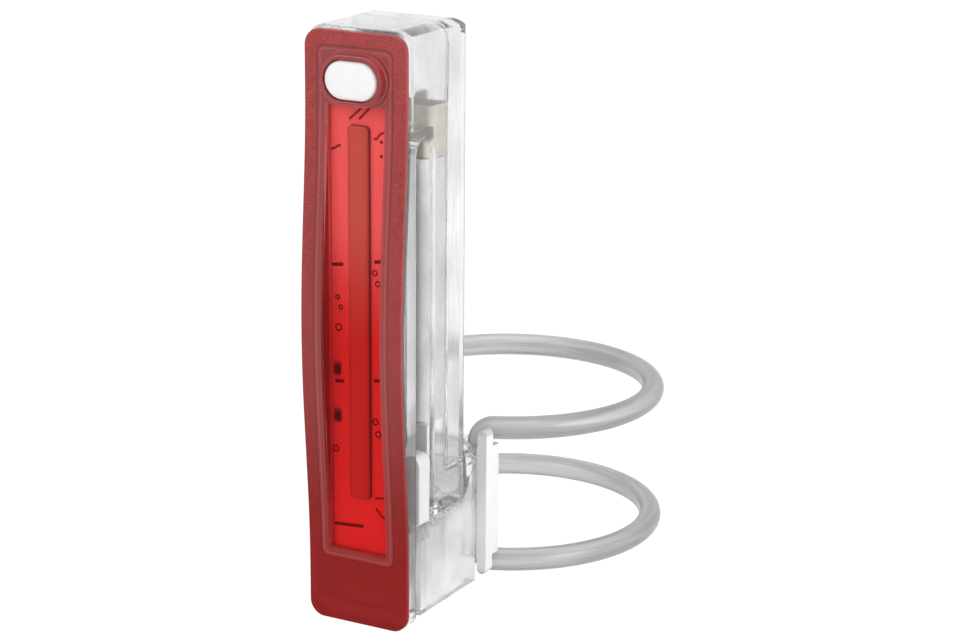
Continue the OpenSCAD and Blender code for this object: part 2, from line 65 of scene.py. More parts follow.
# Camera of the photograph: to the lamp's right and a little above it, through a long lens.
AZIMUTH, ELEVATION, ROLL = np.radians([28.882, 15.642, 0.451])
TARGET = np.array([12.84, -30.456, 26.795])
DISTANCE = 305.26
FOCAL, SENSOR_WIDTH = 96.173, 36

back = np.array([
    math.sin(AZIMUTH) * math.cos(ELEVATION),
    -math.cos(AZIMUTH) * math.cos(ELEVATION),
    math.sin(ELEVATION),
])
level = np.array([math.cos(AZIMUTH), math.sin(AZIMUTH), 0.0])
rise = np.cross(back, level)
pose = np.eye(4)
pose[:3, 0] = math.cos(ROLL) * level + math.sin(ROLL) * rise
pose[:3, 1] = math.cos(ROLL) * rise - math.sin(ROLL) * level
pose[:3, 2] = back
pose[:3, 3] = (TARGET + DISTANCE * back) * MM
camera_data = bpy.data.cameras.new("photo_camera")
camera_data.lens = FOCAL
camera_data.sensor_width = SENSOR_WIDTH
camera_data.clip_start = 10 * MM
camera = bpy.data.objects.new("photo_camera", camera_data)
camera.matrix_world = Matrix(pose.tolist())
scene.collection.objects.link(camera)
scene.camera = camera

# Studio: a white floor under a white sky, and three soft boxes: in front on the left, on the right,
# and overhead. The camera, mirrors and clear walls see the sky and the floor as plain white, and a
# share of the floor's lit grey on top of it, which keeps the shadow.
FLOOR_HALF = 600
FLOOR_GREY, SHADOW_SHARE, FLOOR_SHOWN = 0.86, 0.1, 0.965
SKY_LIGHT = 0.7
BOX_AIM = np.array([0, -25, 25])


def add(tree, kind, **inputs):
    """New shader node. A name with _ for a space is an input, fed by a socket or a plain value;
    any other name is a setting of the node."""
    fresh = tree.nodes.new("ShaderNode" + kind)
    for key, value in inputs.items():
        name = key.replace("_", " ")
        if name in fresh.inputs:
            feed(tree, [fresh.inputs[name]], [value])
        else:
            setattr(fresh, key, value)
    return fresh


def feed(tree, sockets, values):
    """Gives each socket its value: a link from another socket, or a plain number or colour."""
    for socket, value in zip(sockets, values):
        if isinstance(value, bpy.types.NodeSocket):
            tree.links.new(value, socket)
        else:
            socket.default_value = value


def calc(tree, operation, *values):
    """Math node on one, two or three values, each a socket or a plain number."""
    fresh = add(tree, "Math", operation=operation)
    feed(tree, fresh.inputs, values)
    return fresh.outputs[0]


def seen_as_background(tree):
    """1 on rays from the camera, off mirrors and through clear walls, else 0."""
    path = add(tree, "LightPath")
    seen = calc(tree, "MAXIMUM", path.outputs["Is Camera Ray"], path.outputs["Is Transmission Ray"])
    return calc(tree, "MAXIMUM", seen, path.outputs["Is Glossy Ray"])


def new_material(name):
    """Material with an empty node tree and its output node."""
    material = bpy.data.materials.new(name)
    material.use_nodes = True
    tree = material.node_tree
    tree.nodes.clear()
    return material, tree, add(tree, "OutputMaterial").inputs["Surface"]


def mesh_object(name, vertices, faces, material):
    """Object with smooth faces from vertices in millimetres, an (n, 3) array, and rows of corners.
    Corners that meet are joined, and the faces are turned outwards."""
    mesh = bpy.data.meshes.new(name)
    mesh.from_pydata((np.asarray(vertices, float) * MM).tolist(), [], faces)
    work = bmesh.new()
    work.from_mesh(mesh)
    bmesh.ops.remove_doubles(work, verts=work.verts, dist=0.001 * MM)
    bmesh.ops.dissolve_degenerate(work, edges=work.edges, dist=0.001 * MM)
    bmesh.ops.recalc_face_normals(work, faces=work.faces)
    work.to_mesh(mesh)
    work.free()
    mesh.polygons.foreach_set("use_smooth", np.full(len(mesh.polygons), True))
    mesh.materials.append(material)
    thing = bpy.data.objects.new(name, mesh)
    scene.collection.objects.link(thing)
    return thing


world = bpy.data.worlds.new("studio_sky")
scene.world = world
world.use_nodes = True
tree = world.node_tree
tree.nodes.clear()
strength = calc(tree, "MULTIPLY_ADD", seen_as_background(tree), 1 - SKY_LIGHT, SKY_LIGHT)
sky = add(tree, "Background", Color=(1, 1, 1, 1), Strength=strength)
tree.links.new(sky.outputs[0], add(tree, "OutputWorld").inputs["Surface"])

floor_white, tree, surface = new_material("floor_white")
shown = seen_as_background(tree)
grey = calc(tree, "MULTIPLY_ADD", shown, FLOOR_GREY * (SHADOW_SHARE - 1), FLOOR_GREY)
lit = add(tree, "CombineColor", Red=grey, Green=grey, Blue=grey)
matte = add(tree, "BsdfDiffuse", Color=lit.outputs[0])
plain = add(tree, "Emission", Strength=calc(tree, "MULTIPLY", shown, FLOOR_SHOWN))
both = add(tree, "AddShader")
feed(tree, both.inputs, (matte.outputs[0], plain.outputs[0]))
tree.links.new(both.outputs[0], surface)
floor_z = bounds_at_load[0][2] / MM
corners = FLOOR_HALF * np.array([[-1, -1, 0], [1, -1, 0], [1, 1, 0], [-1, 1, 0]])
mesh_object("floor", corners + [0, 0, floor_z], [[0, 1, 2, 3]], floor_white)


def soft_box(name, place, size, power):
    """Square area light, turned to the lamp's middle; place and size in millimetres, power in watts."""
    data = bpy.data.lights.new(name, "AREA")
    data.size = size * MM
    data.energy = power
    lamp = bpy.data.objects.new(name, data)
    axis = np.array(place, float) - BOX_AIM
    axis /= np.linalg.norm(axis)
    side = np.cross([0, 0.01, 1], axis)
    side /= np.linalg.norm(side)
    turn = np.eye(4)
    turn[:3, 0], turn[:3, 1], turn[:3, 2] = side, np.cross(axis, side), axis
    turn[:3, 3] = np.array(place) * MM
    lamp.matrix_world = Matrix(turn.tolist())
    scene.collection.objects.link(lamp)


soft_box("front_box", (-110, -260, 230), 200, 0.28)
soft_box("right_box", (330, -60, 160), 200, 0.5)
soft_box("top_box", (20, 0, 420), 300, 0.3)

# Clear case: polycarbonate moulding in the shape of an upside-down U, with the front half of its
# back leg; the back cover is welded on along the seam. The walls are polished, with faint flow lines
# in their roughness, and grey clouds and streaks in their tint are painted shade.
CLEAR_TINT = (0.99, 0.993, 0.995, 1)
CLOUD_SHADE_GREY, CLOUD_STRETCH = (0.84, 0.845, 0.85, 1), (0.22, 0.22, 0.12)
EDGE_TINT, EDGE_POWER = (0.64, 0.65, 0.66, 1), 4.0
FLOW_STRETCH, STREAK_SHARE = (1.6, 1.6, 0.12), 0.7
RIPPLE_STRENGTH, RIPPLE_DEPTH = 0.08, 0.02
FROST_MILK, FROST_ROUGH = 0.9, 0.6
CLEAR_IOR = 1.25
WALL_GAP = 0.01
EDGE_R, OUTLINE_R = 0.15, 0.5
SHARP_ANGLE = math.radians(35)


def object_place(tree, stretch=(1, 1, 1)):
    """Object coordinates in millimetres, each axis multiplied by its stretch."""
    place = add(tree, "TexCoord").outputs["Object"]
    scale = tuple(s / MM for s in stretch)
    return add(tree, "Mapping", Vector=place, Scale=scale).outputs[0]


def noise(tree, scale, detail=3.0, stretch=(1, 1, 1), **sockets):
    """Noise from 0 to 1 with so many spots a millimetre, fixed to the piece."""
    place = object_place(tree, stretch)
    return add(tree, "TexNoise", Vector=place, Scale=scale, Detail=detail, **sockets).outputs[0]


def between(tree, share, low, high):
    """Number that goes from low to high as the share goes from 0 to 1."""
    return add(tree, "MapRange", Value=share, To_Min=low, To_Max=high).outputs[0]


def step_up(tree, value, start, width):
    """0 below start, 1 above start + width, smooth between."""
    ramp = add(tree, "MapRange", interpolation_type="SMOOTHSTEP", Value=value)
    feed(tree, (ramp.inputs["From Min"], ramp.inputs["From Max"]), (start, start + width))
    return ramp.outputs[0]


def colour_mix(tree, share, first, second):
    """Colour that goes from first to second as the share goes from 0 to 1."""
    mixed = add(tree, "Mix", data_type="RGBA")
    feed(tree, (mixed.inputs[0], mixed.inputs[6], mixed.inputs[7]), (share, first, second))
    return mixed.outputs[2]


def bumped(tree, strength, depth, height):
    """Normal of a surface whose height goes from 0 to 1, so many millimetres deep."""
    return add(tree, "Bump", Strength=strength, Distance=depth * MM, Height=height).outputs[0]


def shaded(tree, surface, **sockets):
    """Principled shader with these inputs, led to the material's surface."""
    tree.links.new(add(tree, "BsdfPrincipled", **sockets).outputs[0], surface)


def clear_plastic(name, milk, rough, cloud_shade, frosted=None):
    """Clear moulding: a glassy shader that turns grey where a wall is seen along its length, with milky
    clouds, grey clouds and streaks painted in its tint as shade, flow lines along the lamp's height in
    its roughness, and a faint ripple.
    Milk and rough are each a least and a most. The function frosted gives the share of frosting at
    each place."""
    material, tree, surface = new_material(name)
    cloudy = step_up(tree, noise(tree, 1.0, 2.0, CLOUD_STRETCH), 0.35, 0.35)
    flow = noise(tree, 1.0, 3.0, FLOW_STRETCH)
    streak = calc(tree, "MULTIPLY", step_up(tree, flow, 0.5, 0.12), STREAK_SHARE)
    # Painted shade: the tint turns grey in clouds and in streaks along the lamp's height.
    shade = calc(tree, "MULTIPLY", calc(tree, "MAXIMUM", cloudy, streak), cloud_shade)
    tint = colour_mix(tree, shade, CLEAR_TINT, CLOUD_SHADE_GREY)
    grazing = calc(tree, "POWER", add(tree, "LayerWeight", Blend=0.5).outputs["Facing"], EDGE_POWER)
    clear = between(tree, cloudy, 1 - milk[0], 1 - milk[1])
    roughness = between(tree, flow, *rough)
    if frosted:
        share = frosted(tree)
        clear = between(tree, share, clear, 1 - FROST_MILK)
        roughness = between(tree, share, roughness, FROST_ROUGH)
    shaded(
        tree, surface, IOR=CLEAR_IOR, Base_Color=colour_mix(tree, grazing, tint, EDGE_TINT),
        Transmission_Weight=clear, Roughness=roughness,
        Normal=bumped(tree, RIPPLE_STRENGTH, RIPPLE_DEPTH, flow))
    return material


def dressed(thing, body, slot, *nodes):
    """The piece rides on a body and stands for CAD nodes, if any, which it hides. The slot is not used."""
    if nodes:
        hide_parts(*nodes)
    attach(thing, body)
    return thing


def sharp_edges(work, shortest):
    """Edges of a bmesh, over some length in millimetres, at which its faces turn sharply."""
    return [
        e for e in work.edges
        if e.is_manifold and e.calc_face_angle(0) > SHARP_ANGLE and e.calc_length() > shortest * MM]


def rounded(work, edges, radius, facets):
    """Rounds edges of a bmesh to a radius in millimetres, with so many facets."""
    bmesh.ops.bevel(
        work, geom=edges, offset=radius * MM, offset_type="OFFSET", segments=facets, profile=0.5,
        affect="EDGES", clamp_overlap=False)


def finished(node, rounding, material, body, slot, inset=0.0, side_rounding=0.0, shortest=0.0):
    """Copy of a CAD node's mesh with its sharp edges rounded and its walls drawn in by so many
    millimetres, and with smooth shading that leaves flat faces flat. The outline of its left and
    right sides may have a larger rounding of its own, and short edges may stay sharp."""
    work = bmesh.new()
    work.from_mesh(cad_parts[node].data)
    bmesh.ops.remove_doubles(work, verts=work.verts, dist=0.002 * MM)
    bmesh.ops.dissolve_limit(work, angle_limit=math.radians(0.3), verts=work.verts, edges=work.edges)
    if side_rounding:
        corners = np.array([corner[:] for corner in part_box(node)])
        reach = np.abs(corners[:, 0]).max() - 0.01 * MM
        outline = [e for e in sharp_edges(work, shortest) if all(abs(v.co.x) > reach for v in e.verts)]
        rounded(work, outline, side_rounding, 5)
    if rounding:
        rounded(work, sharp_edges(work, shortest), rounding, 3)
    bmesh.ops.remove_doubles(work, verts=work.verts, dist=0.005 * MM)
    bmesh.ops.dissolve_degenerate(work, edges=work.edges, dist=0.005 * MM)
    bmesh.ops.connect_verts_concave(work, faces=work.faces)
    mesh = bpy.data.meshes.new(node + "_look")
    work.to_mesh(mesh)
    work.free()
    mesh.materials.clear()
    mesh.materials.append(material)
    count = len(mesh.vertices)
    places, normals = np.empty(3 * count), np.empty(3 * count)
    mesh.vertices.foreach_get("co", places)
    mesh.vertices.foreach_get("normal", normals)
    mesh.vertices.foreach_set("co", places - normals * inset * MM)
    mesh.polygons.foreach_set("use_smooth", np.full(len(mesh.polygons), True))
    mesh.set_sharp_from_angle(angle=SHARP_ANGLE)
    thing = bpy.data.objects.new(node + "_look", mesh)
    scene.collection.objects.link(thing)
    flats = thing.modifiers.new("flat_faces", "WEIGHTED_NORMAL")
    flats.keep_sharp = True
    return dressed(thing, body, slot, node)


case_clear = clear_plastic("case_clear", milk=(0.01, 0.07), rough=(0.08, 0.2), cloud_shade=1.0)
finished("case_front", EDGE_R, case_clear, "lamp", "clear_plastic", WALL_GAP, OUTLINE_R)
finished("rear_cover", EDGE_R, case_clear, "lamp", "clear_plastic", WALL_GAP, OUTLINE_R)

# Cradle: a thicker clear moulding that the back leg drops into, with a tab that stands in the slot,
# a back wall, and the plate with the ears that the strap hooks behind.
LAMP_ORIGIN = np.array([0, -38.4555, -11.6])
TAB_Y, TAB_Z, TAB_FROST = 5.65, 12.9, 0.8
PLATE_Y, EAR_X, EAR_MIDDLE, EAR_HALF = 17.0, 6.8, 11.5, 8.6
EAR_FROST, EAR_END_FROST = 1.0, 0.45
BASE_FRONT, BASE_TOP = 4.0, 11.6
BASE_FROST_LOW, BASE_FROST_HIGH = 0.2, 0.5


def lamp_axis(tree, axis):
    """One coordinate of the lamp's own frame, in millimetres."""
    place = add(tree, "SeparateXYZ", Vector=object_place(tree))
    return calc(tree, "SUBTRACT", place.outputs[axis], float(LAMP_ORIGIN[axis]))


def step_down(tree, value, start, width):
    """1 below start, 0 above start + width, smooth between."""
    return calc(tree, "SUBTRACT", 1.0, step_up(tree, value, start, width))


def frosted_places(tree):
    """Share of frosting: most on the ears and on the tab that stands in the slot, less on the ears'
    ends and, in clouds, on the base behind its front wall, and none elsewhere."""
    depth, height = lamp_axis(tree, 1), lamp_axis(tree, 2)
    across = calc(tree, "ABSOLUTE", lamp_axis(tree, 0))
    tab = calc(tree, "MULTIPLY", step_up(tree, height, TAB_Z, 0.1), step_down(tree, depth, TAB_Y, 0.1))
    ears = calc(tree, "MULTIPLY", step_up(tree, depth, PLATE_Y, 0.1), step_up(tree, across, EAR_X, 0.1))
    from_middle = calc(tree, "ABSOLUTE", calc(tree, "SUBTRACT", height, EAR_MIDDLE))
    ear_frost = between(tree, step_up(tree, from_middle, EAR_HALF, 0.5), EAR_FROST, EAR_END_FROST)
    base = calc(
        tree, "MULTIPLY", step_down(tree, height, BASE_TOP, 2.0), step_up(tree, depth, BASE_FRONT, 1.0))
    mist = step_up(tree, noise(tree, 0.2, 1.0), 0.35, 0.3)
    base_frost = between(tree, mist, BASE_FROST_LOW, BASE_FROST_HIGH)
    most = 0.0
    for place, frost in ((tab, TAB_FROST), (ears, ear_frost), (base, base_frost)):
        most = calc(tree, "MAXIMUM", calc(tree, "MULTIPLY", place, frost), most)
    return most


cradle_clear = clear_plastic(
    "cradle_clear", milk=(0.02, 0.1), rough=(0.15, 0.3), cloud_shade=0.2, frosted=frosted_places)
finished("mount_cradle", 0.2, cradle_clear, "cradle", "clear_plastic", shortest=2.5)

# Lens: red polycarbonate, clear over the light bar and finely grained on its rim. It is welded to
# the case's front, and the wall behind its rim, which shows as a frame, boxes in the light. Light and
# shade are painted on it: its rim and its window turn lighter toward the top and darker toward the
# foot, its faces behind the front skin take a paler pink, and pale lines along the frame and round
# the collar are painted highlights.
RIM_TOP_LIT, RIM_FOOT_SHADED = (0.5, 0.045, 0.044, 1), (0.37, 0.012, 0.011, 1)
SPECK_RED, FRAME_RED, WALL_LIT_PINK = (0.27, 0.012, 0.012, 1), (0.36, 0.04, 0.04, 1), (0.9, 0.4, 0.4, 1)
LINE_DARK, LINE_HIGHLIGHT = (0.2, 0.012, 0.012, 1), (0.5, 0.09, 0.09, 1)
WINDOW_TOP_LIT_RED, WINDOW_FOOT_SHADED_RED = (1.0, 0.34, 0.34, 1), (0.89, 0.12, 0.12, 1)
LENS_IOR = 1.15
WALL_Y = 0.6
WINDOW_HALF, WINDOW_LOW, WINDOW_HIGH = 4.02, 9.2, 63.9
FRAME_HALF, FRAME_LOW, FRAME_HIGH, FRAME_R = 5.1, 8.1, 70.7, 1.05
COLLAR_HALF, COLLAR_LOW, COLLAR_HIGH, COLLAR_SHIFT = 3.55, 64.65, 69.25, 0.25
# Heights over which the window's and the rim's painted light and shade, and the rim's gloss, change:
# where each starts, and how far.
WINDOW_FADE, RIM_FADE, GLOSS_FADE = (34, 18), (4, 62), (6, 30)


def stripe(tree, value, low, high, soft=0.04):
    """1 between low and high, 0 outside, with soft sides."""
    rise = step_up(tree, value, low - soft, soft)
    return calc(tree, "MULTIPLY", rise, step_down(tree, value, high, soft))


def outside_box(tree, half, low, high, radius, middle=0.0):
    """Distance in millimetres from an upright rectangle with round corners, negative inside it: the
    length of what sticks out beyond the corner centres, less the radius."""
    beyond = []
    for axis, centre, reach in ((0, middle, half), (2, (low + high) / 2, (high - low) / 2)):
        off = calc(tree, "ABSOLUTE", calc(tree, "SUBTRACT", lamp_axis(tree, axis), centre))
        beyond.append(calc(tree, "SUBTRACT", off, reach - radius))
    out_x, out_z = (calc(tree, "MAXIMUM", v, 0.0) for v in beyond)
    far = calc(tree, "SQRT", calc(
        tree, "ADD", calc(tree, "MULTIPLY", out_x, out_x), calc(tree, "MULTIPLY", out_z, out_z)))
    near = calc(tree, "MINIMUM", calc(tree, "MAXIMUM", *beyond), 0.0)
    return calc(tree, "SUBTRACT", calc(tree, "ADD", far, near), radius)


lens_red, tree, surface = new_material("lens_red")
height = lamp_axis(tree, 2)
rim = step_up(tree, outside_box(tree, WINDOW_HALF, WINDOW_LOW, WINDOW_HIGH, 0.05), 0.0, 0.03)
frame_edge = outside_box(tree, FRAME_HALF, FRAME_LOW, FRAME_HIGH, FRAME_R)
collar_edge = outside_box(
    tree, COLLAR_HALF, COLLAR_LOW, COLLAR_HIGH, (COLLAR_HIGH - COLLAR_LOW) / 2, COLLAR_SHIFT)
grain = noise(tree, 5.0, 5.0, Roughness=0.7)
mottle = step_up(tree, noise(tree, 0.7, 4.0, Roughness=0.65), 0.42, 0.2)
# Painted light and shade: the rim turns lighter and greyer toward the top and darker toward the foot.
colour = colour_mix(tree, step_up(tree, height, *RIM_FADE), RIM_FOOT_SHADED, RIM_TOP_LIT)
colour = colour_mix(tree, calc(tree, "MULTIPLY", mottle, 0.3), colour, LINE_DARK)
colour = colour_mix(tree, step_up(tree, grain, 0.42, 0.24), colour, SPECK_RED)
colour = colour_mix(tree, step_up(tree, frame_edge, -0.1, 0.1), FRAME_RED, colour)
# Painted highlights: a pale line inside the frame's edge and two pale lines round the button's collar.
for distance, low, high, line_red in (
        (frame_edge, -0.06, 0.06, LINE_DARK), (frame_edge, -0.46, -0.36, LINE_HIGHLIGHT),
        (collar_edge, 0.5, 0.6, LINE_HIGHLIGHT), (collar_edge, 1.02, 1.12, LINE_HIGHLIGHT)):
    colour = colour_mix(tree, stripe(tree, distance, low, high), colour, line_red)
# Painted light and shade: the window's red is lighter and pinker toward the top, where light comes in from
# above through the case, and deeper toward the foot.
window_red = colour_mix(tree, step_up(tree, height, *WINDOW_FADE), WINDOW_FOOT_SHADED_RED, WINDOW_TOP_LIT_RED)
colour = colour_mix(tree, rim, window_red, colour)
# Painted light: every face of the lens behind its front skin takes a pale pink, lighter than the lens's
# red, which lifts the shade on the walls seen through the window.
colour = colour_mix(tree, step_up(tree, lamp_axis(tree, 1), WALL_Y, 0.1), colour, WALL_LIT_PINK)
gloss = between(tree, step_up(tree, height, *GLOSS_FADE), 0.1, 0.9)
shaded(
    tree, surface, IOR=LENS_IOR, Base_Color=colour, Roughness=between(tree, rim, 0.05, 0.38),
    Transmission_Weight=between(tree, rim, 1.0, 0.3),
    Coat_Weight=calc(tree, "MULTIPLY", rim, gloss), Coat_Roughness=0.3,
    Normal=bumped(tree, between(tree, rim, 0.0, 0.3), 0.03, grain))
finished("front_lens", EDGE_R, lens_red, "lamp", "red_lens", WALL_GAP)

# Button: white silicone cap, a little domed, with a soft edge. Its flange lies behind the lens's
# collar, which keeps it in.
BUTTON_W, BUTTON_H, BUTTON_Z = 7.1, 4.6, 66.95
BUTTON_FRONT, BUTTON_CROWN, BUTTON_EDGE_R = -1.2, 0.12, 0.4
FLANGE_OUT, FLANGE_FRONT, FLANGE_BACK = 0.35, 0.25, 0.5


def round_edge(inset, depth, radius, steps=6):
    """Rows (inset, y) of a quarter circle that turns a front face into a side wall."""
    turn = np.linspace(0, math.pi / 2, steps)
    return np.stack([inset + radius * (1 - np.sin(turn)), depth + radius * (1 - np.cos(turn))], 1)


def pillow(name, width, height, radius, rows, z, material):
    """Closed piece on the lamp from rings round an upright rectangle with round corners. Each row is
    (inset, y): the ring lies so far inside the rectangle, at that depth. A ring's points are its four
    corner centres plus a quarter circle round each, of the radius less the inset. The ends are closed
    flat."""
    corner = np.array([[1, 1], [-1, 1], [-1, -1], [1, -1]])
    middle = corner * [width / 2 - radius, height / 2 - radius]
    turn = np.linspace(0, math.pi / 2, 9) + (np.arange(4) * math.pi / 2)[:, None]
    ray = np.stack([np.cos(turn), np.sin(turn)], -1)
    inset, depth = np.asarray(rows).T
    flat = middle[None, :, None] + (radius - inset)[:, None, None, None] * ray[None]
    flat = flat.reshape(len(inset), -1, 2)
    level_y = np.broadcast_to(depth[:, None], flat.shape[:2])
    places = np.stack([flat[..., 0], level_y, flat[..., 1] + z], -1)
    count = flat.shape[1]
    index = np.arange(len(inset) * count).reshape(len(inset), count)
    beside = np.roll(index, -1, 1)
    walls = np.stack([index[:-1], beside[:-1], beside[1:], index[1:]], -1).reshape(-1, 4)
    faces = walls.tolist() + index[[0, -1]].tolist()
    return mesh_object(name, places.reshape(-1, 3) + LAMP_ORIGIN, faces, material)


def plain_finish(name, colour, roughness, scale=4.0, change=0.06, bump=0.01, pattern=None, **sockets):
    """Opaque finish: a colour that varies by a small share with noise of so many spots a millimetre,
    and a bump of that noise in millimetres. The function pattern, if any, gives another height from
    0 to 1 in place of the noise."""
    material, tree, surface = new_material(name)
    spots = pattern(tree) if pattern else noise(tree, scale)
    pale = tuple(min(1.0, c * (1 + change)) for c in colour) + (1,)
    deep = tuple(c * (1 - change) for c in colour) + (1,)
    shaded(
        tree, surface, Base_Color=colour_mix(tree, spots, deep, pale),
        Roughness=between(tree, spots, roughness - 0.05, roughness + 0.05),
        Normal=bumped(tree, 0.5, bump, spots), **sockets)
    return material


dome_inset = np.linspace(BUTTON_H / 2, BUTTON_EDGE_R, 10, endpoint=False)
dome_share = (1 - dome_inset / (BUTTON_H / 2)) ** 2
dome = np.stack([dome_inset, BUTTON_FRONT + BUTTON_CROWN * dome_share], 1)
rows = np.concatenate([
    dome,
    round_edge(0, BUTTON_FRONT + BUTTON_CROWN, BUTTON_EDGE_R),
    [(0, FLANGE_FRONT), (-FLANGE_OUT, FLANGE_FRONT), (-FLANGE_OUT, FLANGE_BACK), (1, FLANGE_BACK)],
])
button_white = plain_finish("button_white", (0.88, 0.88, 0.875), 0.6, scale=1.2, change=0.03, bump=0.02)
button = pillow("button_look", BUTTON_W, BUTTON_H, BUTTON_H / 2, rows, BUTTON_Z, button_white)
dressed(button, "push_button", "white_silicone", "button")

# Light board: glass-fibre board with white solder mask, lying in the case's tray. Copper tracks show
# through the mask, a wavy dark line in their colour runs near its right edge, and marks and pads are
# printed dark on its front.
BOARD_Y = 1.2
PRINT_T = 0.03
TRACK_W, MARK_W, RING_W = 0.3, 0.4, 0.17
TRACKS = [
    [(-1.4, 62.1), (0.2, 63.5)],
    [(-0.1, 62.2), (1.4, 63.7)],
    [(1.9, 60.1), (2.3, 60.1), (2.6, 60.6), (3.1, 60.9), (3.9, 61.0)],
    [(-3.9, 58.3), (-3.6, 58.4), (-3.1, 58.7), (-2.6, 58.9)],
    [(1.9, 16.2), (3.3, 16.4), (3.9, 15.6)],
    [(2.0, 14.9), (2.7, 14.1), (3.6, 13.6), (3.9, 13.7)],
]
MARKS = [
    [(-3.9, 44.4), (-2.4, 44.6)],
    [(1.9, 45.4), (3.5, 45.7)],
    [(-3.6, 30.1), (-2.4, 30.2)],
    [(1.8, 30.9), (3.5, 31.1)],
    [(-3.9, 12.0), (0.2, 12.3)],
]
PADS = [
    (0.12, (2.9, 59.8)), (0.12, (2.9, 58.1)),
    (0.3, (1.95, 44.1)), (0.3, (2.35, 42.8)),
    (0.25, (-3.2, 40.5)), (0.25, (-2.8, 39.3)),
    (0.4, (-3.1, 36.8)),
    (0.35, (1.95, 25.8)), (0.35, (2.35, 24.3)),
    (0.35, (-3.6, 21.6)),
]
WAVY_X, WAVY_LOW, WAVY_HIGH, WAVY_DEPTH, WAVY_PITCH = 3.72, 18, 57, 0.08, 1.9
CLOTH_PITCH = 0.7


def print_strip(points, width, closed=False):
    """Vertices and faces of a thin flat strip on the board's front: at every point, four corners
    half a width to each side, on the board and a print's thickness in front of it."""
    points = np.asarray(points, float)
    if closed:
        step = np.roll(points, -1, 0) - np.roll(points, 1, 0)
    else:
        step = np.gradient(points, axis=0)
    step /= np.linalg.norm(step, axis=1, keepdims=True)
    side = np.stack([-step[:, 1], step[:, 0]], 1) * width / 2
    flat = np.stack([points + side, points - side, points - side, points + side], 1)
    depth = BOARD_Y - PRINT_T * np.array([1, 1, 0, 0])
    places = np.stack([flat[..., 0], np.broadcast_to(depth, flat.shape[:2]), flat[..., 1]], -1)
    index = np.arange(4 * len(points)).reshape(-1, 4)
    ahead = np.roll(index, -1, 0)
    walls = np.stack([index, np.roll(index, -1, 1), np.roll(ahead, -1, 1), ahead], -1)
    if closed:
        faces = walls.reshape(-1, 4)
    else:
        faces = np.concatenate([walls[:-1].reshape(-1, 4), index[[0, -1]]])
    return places.reshape(-1, 3), faces


def printed(name, strips, material):
    """One piece from many strips on the board's front: each strip's corners count on from the last."""
    places, faces = zip(*strips)
    starts = np.cumsum([0] + [len(p) for p in places])
    faces = np.concatenate([corners + start for corners, start in zip(faces, starts)])
    piece = mesh_object(name, np.concatenate(places) + LAMP_ORIGIN, faces.tolist(), material)
    dressed(piece, "lamp", "black_plastic")


def weave(tree):
    """Height of the glass cloth that shows through the mask: the sine across times the sine up, one
    thread over and one under, with a little noise."""
    across, up = (
        calc(tree, "SINE", calc(tree, "MULTIPLY", lamp_axis(tree, axis), 2 * math.pi / CLOTH_PITCH))
        for axis in (0, 2))
    threads = calc(tree, "MULTIPLY_ADD", calc(tree, "MULTIPLY", across, up), 0.25, 0.25)
    return calc(tree, "MULTIPLY_ADD", noise(tree, 2.5), 0.5, threads)


turn = np.linspace(0, 2 * math.pi, 20, endpoint=False)
circle = np.stack([np.cos(turn), np.sin(turn)], 1)
# A wavy dark line near the board's right edge, drawn in the tracks' colour.
wavy_z = np.linspace(WAVY_LOW, WAVY_HIGH, 160)
wavy_dark_line = np.stack([WAVY_X + WAVY_DEPTH * np.sin(wavy_z * 2 * math.pi / WAVY_PITCH), wavy_z], 1)
printed(
    "board_tracks", [print_strip(points, TRACK_W) for points in TRACKS + [wavy_dark_line]],
    plain_finish("masked_copper", (0.36, 0.2, 0.18), 0.5))
printed(
    "board_marks",
    [print_strip(points, MARK_W) for points in MARKS]
    + [print_strip(circle * radius + middle, RING_W, closed=True) for radius, middle in PADS],
    plain_finish("print_dark", (0.16, 0.1, 0.09), 0.5))
board_white = plain_finish("board_white", (0.96, 0.96, 0.95), 0.5, change=0.025, pattern=weave)
finished("led_board", 0, board_white, "lamp", "white_board")

# Light bar: a row of light chips under one long strip of amber gel with soft shoulders, cast on the
# board. Its side walls, and its top toward both long edges, are painted dark brown as shade.
BAR_W, BAR_LOW, BAR_HIGH, BAR_FRONT = 2.85, 15.9, 61.5, 0.6
BAR_CORNER_R, SHOULDER_R = 0.6, 0.3
GEL_HIGH, GEL_LOW, BAR_SHADE_BROWN = (0.56, 0.66, 0.5, 1), (0.66, 0.9, 0.68, 1), (0.24, 0.14, 0.1, 1)
rows = np.concatenate([
    [(BAR_CORNER_R, BAR_FRONT)],
    round_edge(0, BAR_FRONT, SHOULDER_R, 8),
    [(0, BOARD_Y), (BAR_CORNER_R, BOARD_Y)],
])
gel, tree, surface = new_material("light_gel")
cloud = noise(tree, 0.8)
# The gel turns paler toward the foot over the same heights as the window's painted light and shade, which
# this partly offsets where the bar shows through.
gel_colour = colour_mix(tree, step_up(tree, lamp_axis(tree, 2), *WINDOW_FADE), GEL_LOW, GEL_HIGH)
# Painted shade: the bar's side walls and the long edges of its top turn dark brown.
wall = step_up(tree, lamp_axis(tree, 1), BAR_FRONT + 0.1, 0.15)
edge_share = calc(tree, "DIVIDE", calc(tree, "ABSOLUTE", lamp_axis(tree, 0)), BAR_W / 2)
shoulder_shade = calc(tree, "MULTIPLY", calc(tree, "POWER", edge_share, 4.0), 0.35)
shaded(
    tree, surface,
    Base_Color=colour_mix(tree, calc(tree, "MAXIMUM", wall, shoulder_shade), gel_colour, BAR_SHADE_BROWN),
    Roughness=between(tree, cloud, 0.3, 0.5), Normal=bumped(tree, 0.5, 0.02, cloud))
bar = pillow("led_bar_look", BAR_W, BAR_HIGH - BAR_LOW, BAR_CORNER_R, rows, (BAR_LOW + BAR_HIGH) / 2, gel)
dressed(bar, "lamp", "light_gel", "led_bar")

